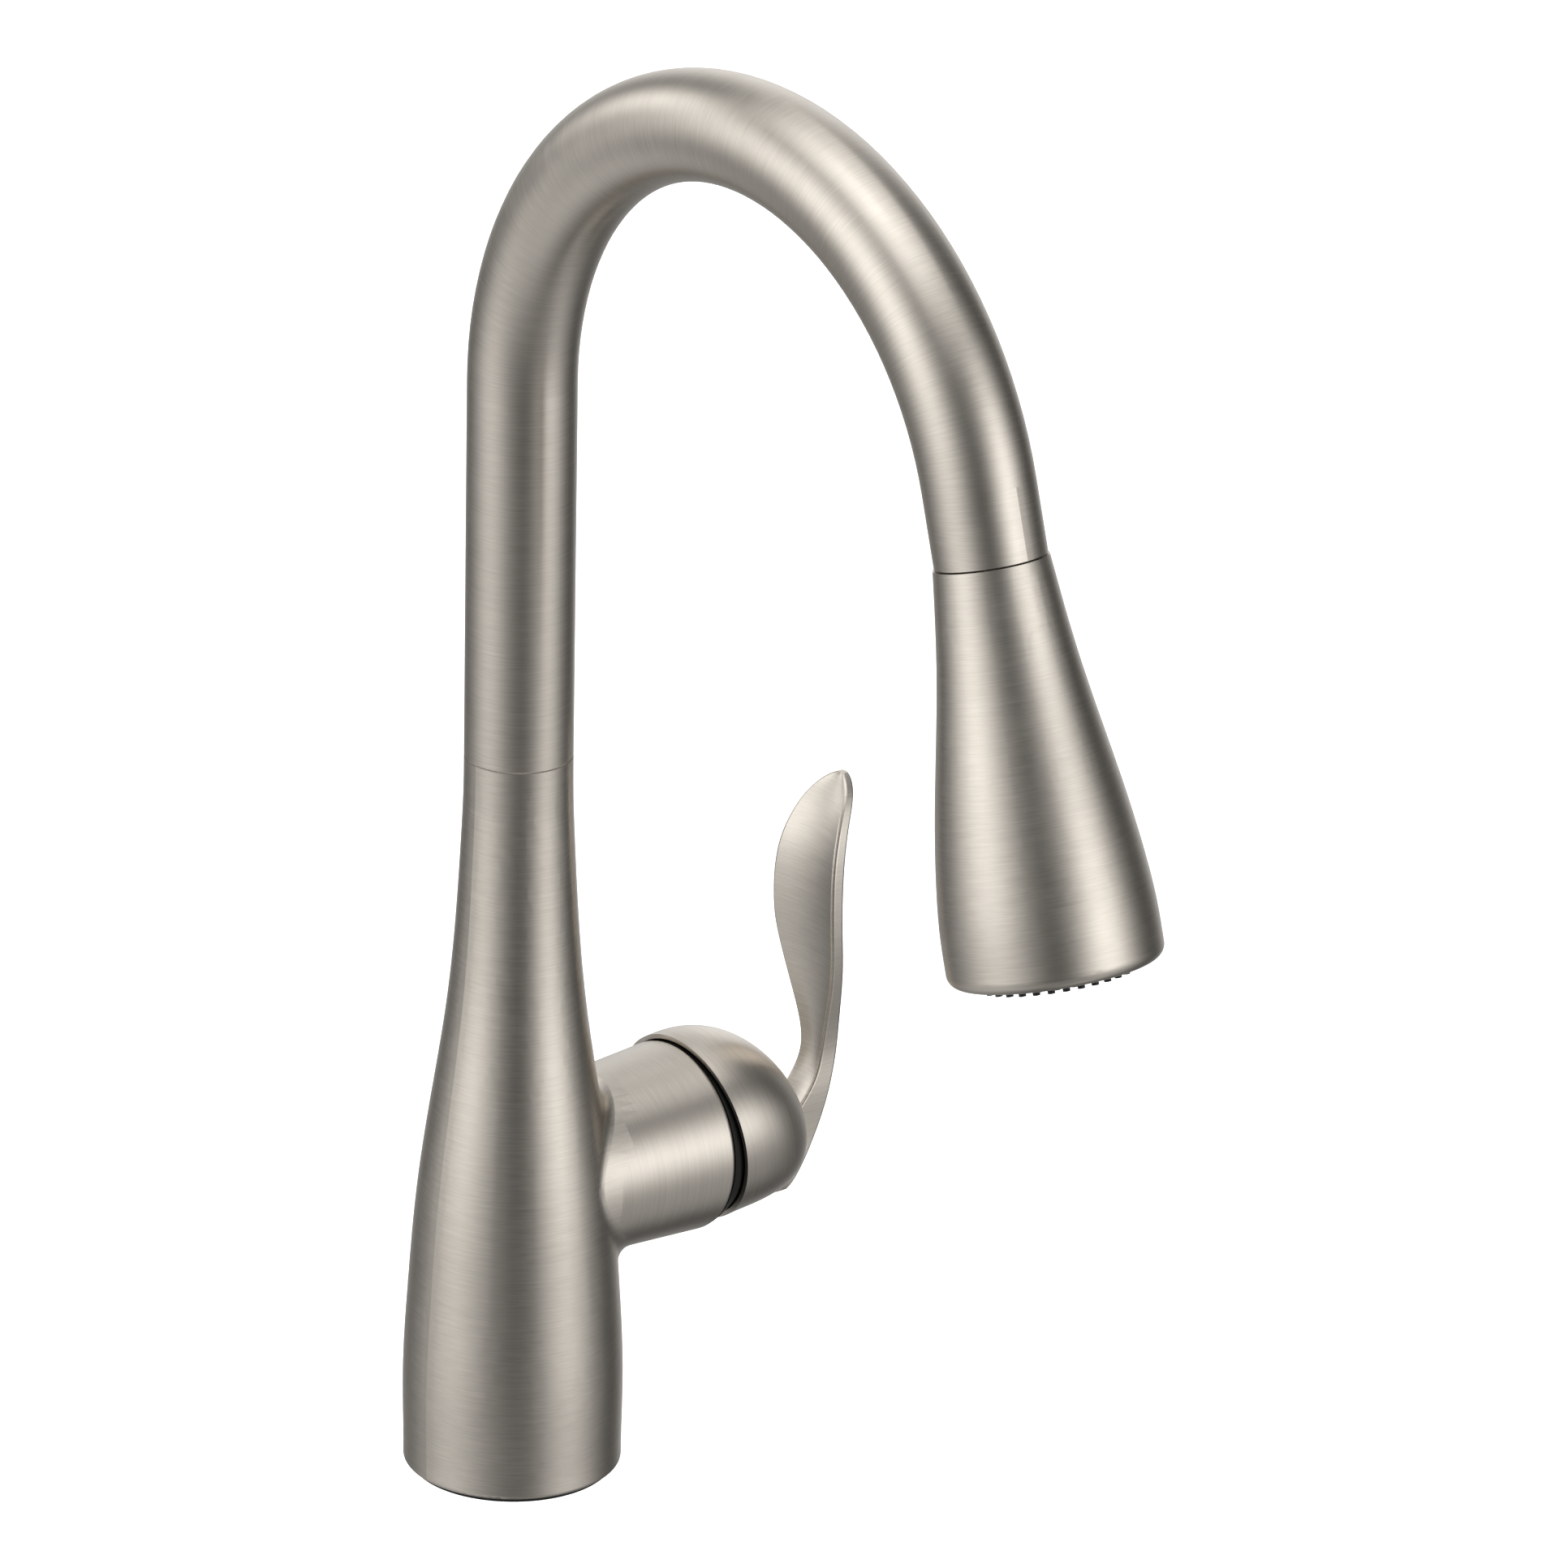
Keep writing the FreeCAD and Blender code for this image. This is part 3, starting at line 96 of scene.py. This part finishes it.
def brushed_metal(name, code, axis, centre=(0, 0, 0), roughness=0.315, grain=1.0, bend=None):
    """Metal brushed round an axis through centre: fine rings, light smeared along the axis.

    With bend, the axis follows a pipe bend about X of that radius, centred at centre.
    """
    finish, tree = new_finish(name)
    place = add(tree, "TexCoord").outputs["Object"]
    away = add(tree, "VectorMath", {0: place, 1: centre}, operation="SUBTRACT").outputs["Vector"]
    if bend:
        split = add(tree, "SeparateXYZ", {"Vector": away})
        lifted = add(tree, "Math", {0: split.outputs["Z"], 1: 0.0}, operation="MAXIMUM").outputs[0]
        arm = add(tree, "CombineXYZ", {"Y": split.outputs["Y"], "Z": lifted}).outputs["Vector"]
        across = add(tree, "VectorMath", {0: (1, 0, 0), 1: arm}, operation="CROSS_PRODUCT")
        direction = across.outputs["Vector"]
        turned = add(tree, "Math", {0: lifted, 1: split.outputs["Y"]}, operation="ARCTAN2").outputs[0]
        arc = add(tree, "Math", {0: turned, 1: bend}, operation="MULTIPLY").outputs[0]
        below = add(tree, "Math", {0: split.outputs["Z"], 1: 0.0}, operation="MINIMUM").outputs[0]
        along = add(tree, "Math", {0: below, 1: arc}, operation="ADD").outputs[0]
        outward = add(tree, "VectorMath", {0: arm}, operation="LENGTH").outputs["Value"]
        sideways = add(tree, "CombineXYZ", {"X": split.outputs["X"], "Y": outward}).outputs["Vector"]
    else:
        unit = tuple(Vector(axis).normalized())
        direction = add(tree, "CombineXYZ", dict(zip("XYZ", unit))).outputs["Vector"]
        along = add(tree, "VectorMath", {0: away, 1: unit}, operation="DOT_PRODUCT").outputs["Value"]
        on_axis = add(tree, "VectorMath", {0: unit, "Scale": along}, operation="SCALE").outputs["Vector"]
        sideways = add(tree, "VectorMath", {0: away, 1: on_axis}, operation="SUBTRACT").outputs["Vector"]
    around = add(tree, "VectorMath", {0: sideways, "Scale": 1 / STROKE_LENGTH}, operation="SCALE")
    rings_along = add(tree, "Math", {0: along, 1: 1 / RING_PITCH}, operation="MULTIPLY").outputs[0]
    lane = add(tree, "CombineXYZ", {"Z": rings_along}).outputs["Vector"]
    lane = add(tree, "VectorMath", {0: around.outputs["Vector"], 1: lane}, operation="ADD")
    rings = add(tree, "TexNoise", {"Vector": lane.outputs["Vector"], "Scale": 1.0, "Detail": 3.0,
                                   "Roughness": 0.65})
    clouds = add(tree, "TexNoise", {"Vector": place, "Scale": 1 / CLOUD_SIZE, "Detail": 2.0})
    tint = add(tree, "MapRange", {"Value": rings.outputs["Fac"], "From Min": 0.3, "From Max": 0.7})
    shade = add(tree, "Mix", {"Factor": tint.outputs["Result"], "A": colour(code, 1 - 0.10 * grain),
                              "B": colour(code, 1 + 0.07 * grain)}, data_type="RGBA")
    mixed = add(tree, "Math", {0: rings.outputs["Fac"], 1: clouds.outputs["Fac"]}, operation="ADD")
    rough = add(tree, "MapRange", {"Value": mixed.outputs[0], "From Min": 0.6, "From Max": 1.4,
                                   "To Min": roughness - ROUGHNESS_SWING,
                                   "To Max": roughness + ROUGHNESS_SWING})
    relief = add(tree, "Bump", {"Height": rings.outputs["Fac"], "Strength": 0.12 * grain,
                                "Distance": RING_DEPTH})
    turn = add(tree, "VectorTransform", {"Vector": direction}, vector_type="VECTOR",
               convert_from="OBJECT", convert_to="WORLD")
    shader = add(tree, "BsdfPrincipled", {
        "Base Color": shade.outputs["Result"], "Metallic": 1.0, "Roughness": rough.outputs["Result"],
        "Anisotropic": BELT_SMEAR, "Normal": relief.outputs["Normal"], "Tangent": turn.outputs["Vector"]})
    close_finish(tree, shader)
    return finish


def paint(finish, *nodes):
    """Gives whole CAD nodes a finish."""
    for name in nodes:
        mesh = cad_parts[name].data
        mesh.materials.clear()
        mesh.materials.append(finish)


body_nickel = brushed_metal("nickel_plate_brushed_round_column", NICKEL, (0, 0, 1))
paint(body_nickel, "body_shell")

# the hub is brushed round its own axis, outside the column's surface
HUB_START = 0.0285          # from the column's axis
HUB_REGION = (0.045, 0.108)  # heights the hub takes up
hub_nickel = brushed_metal("nickel_plate_brushed_round_hub", NICKEL, (1, 0, 0),
                           centre=(0, 0, HUB_HEIGHT))
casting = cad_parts["body_shell"].data
casting.materials.append(hub_nickel)
for face in casting.polygons:
    place = face.center
    outside = place.x > 0 and math.hypot(place.x, place.y) > HUB_START
    if outside and HUB_REGION[0] < place.z < HUB_REGION[1]:
        face.material_index = 1


# ---- deck gasket ----
# A ring of black nitrile rubber in the foot of the casting. It is moulded, so it is
# matte and a little uneven, and it takes up the deck's roughness.
CLOUD_SHARE = 24            # shading clouds in a moulding, times the size of its grit


def moulded(name, code, roughness, grit, relief_depth):
    """A moulded surface: one colour, a fine grit in its relief and slight shading."""
    finish, tree = new_finish(name)
    place = add(tree, "TexCoord").outputs["Object"]
    grains = add(tree, "TexNoise", {"Vector": place, "Scale": 1 / grit, "Detail": 3.0})
    clouds = add(tree, "TexNoise", {"Vector": place, "Scale": 1 / (CLOUD_SHARE * grit), "Detail": 2.0})
    shade = add(tree, "Mix", {"Factor": clouds.outputs["Fac"], "A": colour(code, 0.9),
                              "B": colour(code, 1.1)}, data_type="RGBA")
    rough = add(tree, "MapRange", {"Value": grains.outputs["Fac"], "To Min": roughness - 0.06,
                                   "To Max": roughness + 0.06})
    relief = add(tree, "Bump", {"Height": grains.outputs["Fac"], "Strength": 0.5,
                                "Distance": relief_depth})
    shader = add(tree, "BsdfPrincipled", {
        "Base Color": shade.outputs["Result"], "Roughness": rough.outputs["Result"],
        "Normal": relief.outputs["Normal"]})
    close_finish(tree, shader)
    return finish


# matte near-black, with a fine grit that catches a little light
rubber = moulded("nitrile_rubber_moulded", "#1B1B1C", 0.72, 0.35 * MM, 0.02 * MM)
paint(rubber, "base_gasket", "swivel_o_ring", "nipple_o_ring", "divider_seal", "spool_o_rings")


# ---- waterway and mixing valve inside the body ----
# The brass column, cup and nut are turned and left bare, the cartridge is moulded
# acetal round two lapped alumina discs, and the screws and stem are stainless steel.
BRASS = "#C9A35C"
STAINLESS = "#C4C4C2"
hub_centre = (0, 0, HUB_HEIGHT)
# yellow metal with fine turning rings
brass = brushed_metal("brass_turned_bare", BRASS, (0, 0, 1), roughness=0.26, grain=0.7)
cup_brass = brushed_metal("brass_turned_round_hub", BRASS, (1, 0, 0), centre=hub_centre,
                          roughness=0.26, grain=0.7)
# cooler and a little brighter than the nickel
stainless = brushed_metal("stainless_steel_turned", STAINLESS, (1, 0, 0), centre=hub_centre,
                          roughness=0.24, grain=0.6)
# milky white with a soft sheen, and a glossier ivory for the lapped discs
acetal = moulded("acetal_moulded_natural", "#E4E2DA", 0.42, 0.5 * MM, 0.008 * MM)
alumina = moulded("alumina_lapped", "#E9E4D8", 0.14, 0.3 * MM, 0.001 * MM)
paint(brass, "waterway_column", "swivel_stem")
paint(cup_brass, "valve_cup", "retainer_nut")
paint(stainless, "cup_screws", "stem_pin", "control_stem", "grub_screw", "lever_screw",
      "rocker_pin", "retaining_clip")
paint(acetal, "cartridge_base", "cartridge_housing", "disc_carrier", "mixer_rotor",
      "upper_bushing", "lower_bushing", "slip_washer", "dock_collar")
paint(alumina, "fixed_disc", "moving_disc")


# ---- bonnet ----
# A black nylon ball cap over the cartridge that the dome turns on. It is the black
# crescent between the hub and the dome, partly its own black and partly painted shade.
# deep black with a dull sheen, so that the gap reads as one dark line: painted shade in the gap
black_nylon_gap_shade = moulded("nylon_moulded_black_gap_shade", "#0E0E0F", 0.48, 0.4 * MM, 0.012 * MM)
paint(black_nylon_gap_shade, "bonnet")


# ---- handle ----
# A zinc dome and a leaf lever, plated and brushed as the body is. The dome is
# brushed round its own axis, the lever along its length.
PIVOT_REACH = 0.045
REST_SLOPE = 0.148          # rise of the closed dome's axis for each length along the hub
# soft bands round the dome, and a long streak up the lever
dome_nickel = brushed_metal("nickel_plate_brushed_round_dome", NICKEL, (1, 0, REST_SLOPE),
                            centre=(PIVOT_REACH, 0, HUB_HEIGHT))
lever_nickel = brushed_metal("nickel_plate_brushed_along_lever", NICKEL, (0, 0, 1), roughness=0.32)
paint(dome_nickel, "handle_dome")
paint(lever_nickel, "handle_lever")


# ---- spout ----
# A drawn brass tube, 27.4 mm across, bent through 164 degrees on a mandrel, plated
# and brushed round with a belt, so the rings follow the bend.
ARCH_RADIUS = 0.0875
RISER_TOP = 0.2928
SWEEP = math.radians(164)
arch_centre = (0, -ARCH_RADIUS, RISER_TOP)
# two light bands and a dark one that follow the pipe round its bend
spout_nickel = brushed_metal("nickel_plate_brushed_round_tube", NICKEL, (0, 0, 1),
                             centre=arch_centre, bend=ARCH_RADIUS)
paint(spout_nickel, "spout_tube")


# ---- spray hose ----
# A 10 mm hose runs up the riser and round the bend to its ferrule in the wand's neck.
# Its jacket is a braid of flat nylon yarns, dark grey, over an inner tube. The last
# stretch pays out of the spout when the wand is pulled.
HOSE_RADIUS = 0.005
HOSE_BOTTOM = 0.1938
OUTLET_RUN = 0.0177
FERRULE_TOP = 0.024         # above the seam, where it belongs to its end
YARNS = 12                  # yarns each way round the hose
YARN_LAY = 42 * MM          # length in which a yarn goes once round
HOSE_SIDES = 48
RISER_STEPS = 5
BEND_STEPS = 40
PULLED_STEPS = 120          # close together, as this stretch grows from 16 mm to 466 mm
outlet_direction = (0, -math.sin(SWEEP), math.cos(SWEEP))


def up_riser(height):
    return Matrix.Translation((0, 0, height))


def round_bend(angle):
    centre = Matrix.Translation(arch_centre)
    return centre @ Matrix.Rotation(angle, 4, "X") @ centre.inverted() @ up_riser(RISER_TOP)


def bend_angle(above_seam):
    """Angle of the bend at a place that far along the tube from the seam."""
    return SWEEP - (above_seam - OUTLET_RUN) / ARCH_RADIUS


outlet = round_bend(SWEEP).translation + OUTLET_RUN * Vector(outlet_direction)


def hose_piece(name, stations, finish):
    """A closed round hose through the stations, each a placed frame across the hose."""
    made = bmesh.new()
    place = made.verts.layers.float_vector.new("around_hose")
    bmesh.ops.create_circle(made, cap_ends=True, segments=HOSE_SIDES, radius=HOSE_RADIUS)
    for vert in made.verts:
        vert[place] = vert.co / HOSE_RADIUS
    bmesh.ops.transform(made, matrix=stations[0], verts=made.verts)
    end = list(made.faces)
    for last, station in zip(stations, stations[1:]):
        grown = bmesh.ops.extrude_face_region(made, geom=end)["geom"]
        end = [item for item in grown if isinstance(item, bmesh.types.BMFace)]
        bmesh.ops.transform(made, matrix=station @ last.inverted(), verts=end[0].verts)
    bmesh.ops.recalc_face_normals(made, faces=made.faces)
    mesh = bpy.data.meshes.new(name)
    for face in made.faces:
        face.smooth = len(face.verts) == 4
    made.to_mesh(mesh)
    made.free()
    mesh.materials.append(finish)
    piece = bpy.data.objects.new(name, mesh)
    bpy.context.scene.collection.objects.link(piece)
    return piece


def braided(name, code):
    """Two families of yarns wound opposite ways round the hose, one over the other by turns, with painted
    shade in the hollows and painted highlights on the crowns.
    """
    finish, tree = new_finish(name)
    around = add(tree, "Attribute", attribute_name="around_hose").outputs["Vector"]
    split = add(tree, "SeparateXYZ", {"Vector": around})
    turned = add(tree, "Math", {0: split.outputs["Y"], 1: split.outputs["X"]}, operation="ARCTAN2").outputs[0]
    turns = add(tree, "Math", {0: turned, 1: YARNS}, operation="MULTIPLY").outputs[0]
    position = add(tree, "TexCoord").outputs["Object"]
    along = add(tree, "VectorMath", {0: position, 1: outlet_direction},
                operation="DOT_PRODUCT").outputs["Value"]
    lay = add(tree, "Math", {0: along, 1: 2 * math.pi * YARNS / YARN_LAY}, operation="MULTIPLY").outputs[0]
    waves = []
    for operation in ("ADD", "SUBTRACT"):
        phase = add(tree, "Math", {0: turns, 1: lay}, operation=operation).outputs[0]
        waves.append(add(tree, "Math", {0: phase}, operation="SINE").outputs[0])
    weave = add(tree, "Math", {0: waves[0], 1: waves[1]}, operation="MULTIPLY").outputs[0]
    fibres = add(tree, "TexNoise", {"Vector": position, "Scale": 1 / (0.4 * MM), "Detail": 2.0})
    height = add(tree, "Math", {0: weave, 1: fibres.outputs["Fac"]}, operation="ADD").outputs[0]
    # painted shade and highlight: the yarn colour is darkened in the hollows of the weave and lightened on
    # its crowns
    painted_weave_shade = add(tree, "MapRange", {"Value": height, "From Min": -0.6, "From Max": 1.4})
    shade = add(tree, "Mix", {"Factor": painted_weave_shade.outputs["Result"], "A": colour(code, 0.45),
                              "B": colour(code, 1.5)}, data_type="RGBA")
    relief = add(tree, "Bump", {"Height": height, "Strength": 0.8, "Distance": 0.25 * MM})
    shader = add(tree, "BsdfPrincipled", {
        "Base Color": shade.outputs["Result"], "Roughness": 0.5, "Sheen Weight": 0.15,
        "Normal": relief.outputs["Normal"]})
    close_finish(tree, shader)
    return finish


JACKET = "#4C4D50"
# crossed yarns, with painted shade between them and painted highlights on their crowns
braid = braided("nylon_braid_dark_grey_painted_weave_shade", JACKET)
paint(moulded("hose_jacket_plain", JACKET, 0.6, 0.8 * MM, 0.1 * MM), "hose_lower")
mid_bend = math.radians(140)
riser_step = (RISER_TOP - HOSE_BOTTOM) / RISER_STEPS
stations = [up_riser(HOSE_BOTTOM + step * riser_step) for step in range(RISER_STEPS)]
stations += [round_bend(mid_bend * step / BEND_STEPS) for step in range(BEND_STEPS + 1)]
spout_hose = hose_piece("spray_hose_in_spout", stations, braid)
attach(spout_hose, "spout")
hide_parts("hose_upper")
last_bend = bend_angle(FERRULE_TOP)
pulled_step = (last_bend - mid_bend) / PULLED_STEPS
stations = [round_bend(mid_bend + pulled_step * step) for step in range(PULLED_STEPS + 1)]
hose_end = hose_piece("spray_hose_pulled_stretch", stations, braid)
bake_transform(hose_end)
ferrule_steel = brushed_metal("stainless_steel_crimped", STAINLESS, outlet_direction, centre=outlet,
                              roughness=0.24, grain=0.6)
nipple_brass = brushed_metal("brass_turned_nipple", BRASS, outlet_direction, centre=outlet,
                             roughness=0.26, grain=0.7)
paint(ferrule_steel, "hose_ferrule", "inlet_screen", "check_spring")
paint(nipple_brass, "hose_nipple")


# ---- spray wand ----
# A flared shell plated and brushed round its axis, over a moulded acetal core with
# the spray valve.
wand_nickel = brushed_metal("nickel_plate_brushed_round_wand", NICKEL, outlet_direction,
                            centre=outlet)
paint(wand_nickel, "wand_shell")
paint(acetal, "wand_waterway", "check_valve_cage", "check_poppet", "flow_divider", "diverter_spool")
rocker_black = moulded("abs_moulded_rocker", "#2A2A2B", 0.45, 0.5 * MM, 0.015 * MM)
paint(rocker_black, "mode_rocker")


# ---- spray face ----
# A dark grey moulded face plate with soft silicone nozzles pushed through it, and a
# plastic honeycomb aerator in the middle.
silicone = moulded("silicone_moulded_nozzles", "#0F0F10", 0.5, 0.3 * MM, 0.01 * MM)
face_plastic = moulded("abs_moulded_face", "#1C1C1E", 0.4, 0.5 * MM, 0.012 * MM)
paint(silicone, "nozzle_mat")
paint(face_plastic, "spray_face", "stream_aerator")


# ---- studio ----
# A pale sweep of floor below the faucet, two tall softboxes either side of the camera
# and one above, in a dim grey room, so that round metal shows two light bands and a
# dark one between.
FLOOR_HEIGHT = -0.27        # below the pulled-out wand
FLOOR_HALF_SIDE = 12.0


def studio_floor():
    """White floor that glows a little, and that the metal neither mirrors nor is lit by."""
    made = bmesh.new()
    bmesh.ops.create_grid(made, x_segments=1, y_segments=1, size=FLOOR_HALF_SIDE)
    bmesh.ops.translate(made, verts=made.verts, vec=(0, 0, FLOOR_HEIGHT))
    mesh = bpy.data.meshes.new("studio_floor")
    made.to_mesh(mesh)
    made.free()
    floor = bpy.data.objects.new("studio_floor", mesh)
    bpy.context.scene.collection.objects.link(floor)
    floor.visible_glossy = False
    floor.visible_diffuse = False
    finish, tree = new_finish("painted_floor")
    shader = add(tree, "BsdfPrincipled", {
        "Base Color": colour("#F4F4F2"), "Roughness": 0.9, "Specular IOR Level": 0.0,
        "Emission Color": (1, 1, 1, 1), "Emission Strength": 0.85})
    close_finish(tree, shader)
    mesh.materials.append(finish)


studio_floor()

# Each glow is a softbox or a lit wall. Its azimuth is 0 towards -Y and 90 towards +X.
# Then come its elevation and how far it spreads each way, in degrees, and its radiance.
GLOWS = {
    "tall softbox left of the camera": (-107.0, 13.5, 37.0, 31.0, 1.75),
    "tall softbox right of the camera": (18.7, 8.5, 28.0, 25.5, 1.78),
    "ceiling": (-60.0, 83.0, 183.0, 28.0, 1.6),
    "lit wall behind on the right": (134.5, 10.0, 27.0, 40.0, 1.15),
    "lit wall behind on the left": (-163.0, 20.5, 16.0, 15.5, 1.65),
    "bounce from the table on the left": (-113.0, -53.5, 85.0, 29.0, 0.6),
    "bounce from the table on the right": (34.0, -60.0, 39.0, 60.0, 0.45),
}

room = bpy.data.worlds.new("studio_room")
room.use_nodes = True
walls = room.node_tree
walls.nodes.clear()
direction = add(walls, "SeparateXYZ", {"Vector": add(walls, "TexCoord").outputs["Generated"]})
forward = add(walls, "Math", {0: direction.outputs["Y"], 1: -1.0}, operation="MULTIPLY").outputs[0]
azimuth = add(walls, "Math", {0: direction.outputs["X"], 1: forward}, operation="ARCTAN2").outputs[0]
elevation = add(walls, "Math", {0: direction.outputs["Z"]}, operation="ARCSINE").outputs[0]


def glow(tree, toward, lift, spread, rise, radiance):
    """Radiance of one soft light in each direction: a smooth lobe round its centre."""
    off = add(tree, "Math", {0: azimuth, 1: math.radians(toward)}, operation="SUBTRACT").outputs[0]
    off = add(tree, "Math", {0: off, 1: math.pi, 2: -math.pi}, operation="WRAP").outputs[0]
    off = add(tree, "Math", {0: off, 1: math.radians(spread)}, operation="DIVIDE").outputs[0]
    high = add(tree, "Math", {0: elevation, 1: math.radians(lift)}, operation="SUBTRACT").outputs[0]
    high = add(tree, "Math", {0: high, 1: math.radians(rise)}, operation="DIVIDE").outputs[0]
    off = add(tree, "Math", {0: off, 1: off}, operation="MULTIPLY").outputs[0]
    far = add(tree, "Math", {0: high, 1: high, 2: off}, operation="MULTIPLY_ADD").outputs[0]
    near = add(tree, "Math", {0: far, 1: -1.0}, operation="MULTIPLY").outputs[0]
    lobe = add(tree, "Math", {0: near}, operation="EXPONENT").outputs[0]
    return add(tree, "Math", {0: lobe, 1: radiance}, operation="MULTIPLY").outputs[0]


DIM_ROOM = 0.02             # radiance between the glows
light = add(walls, "Value").outputs[0]
light.default_value = DIM_ROOM
for place in GLOWS.values():
    light = add(walls, "Math", {0: light, 1: glow(walls, *place)}, operation="ADD").outputs[0]
lit = add(walls, "Background", {"Color": (1, 1, 1, 1), "Strength": light})
plain = add(walls, "Background", {"Color": (1, 1, 1, 1), "Strength": 1.0})
path = add(walls, "LightPath")
seen = add(walls, "MixShader", {0: path.outputs["Is Camera Ray"], 1: lit.outputs[0],
                                2: plain.outputs[0]})
add(walls, "OutputWorld", {"Surface": seen.outputs[0]})
bpy.context.scene.world = room
bpy.context.scene.view_settings.view_transform = "Standard"
bpy.context.scene.view_settings.look = "None"

# a weak square softbox above the spout
overhead = bpy.data.lights.new("softbox_overhead", "AREA")
overhead.shape = "SQUARE"
overhead.size = 2.4
overhead.energy = 8.0
overhead_box = bpy.data.objects.new("softbox_overhead", overhead)
overhead_box.location = (0, -0.1, 2.2)
overhead_box.visible_camera = False
bpy.context.scene.collection.objects.link(overhead_box)


# ---- camera ----
# A long lens from the spout's side of the handle, 22 degrees above the deck.
CAMERA_PLACE = (-1.7475, -2.1719, 1.3232)
CAMERA_HEADING = math.radians(-40.18)
CAMERA_PITCH = math.radians(22.18)
CAMERA_ROLL = math.radians(1.07)
LENS = 277.3
lens = bpy.data.cameras.new("camera")
lens.lens = LENS
lens.sensor_width = 36.0
lens.clip_end = 60.0
camera = bpy.data.objects.new("camera", lens)
bpy.context.scene.collection.objects.link(camera)
camera.matrix_world = (Matrix.Translation(CAMERA_PLACE)
                       @ Matrix.Rotation(CAMERA_HEADING, 4, "Z")
                       @ Matrix.Rotation(math.pi / 2 - CAMERA_PITCH, 4, "X")
                       @ Matrix.Rotation(CAMERA_ROLL, 4, "Z"))
bpy.context.scene.camera = camera
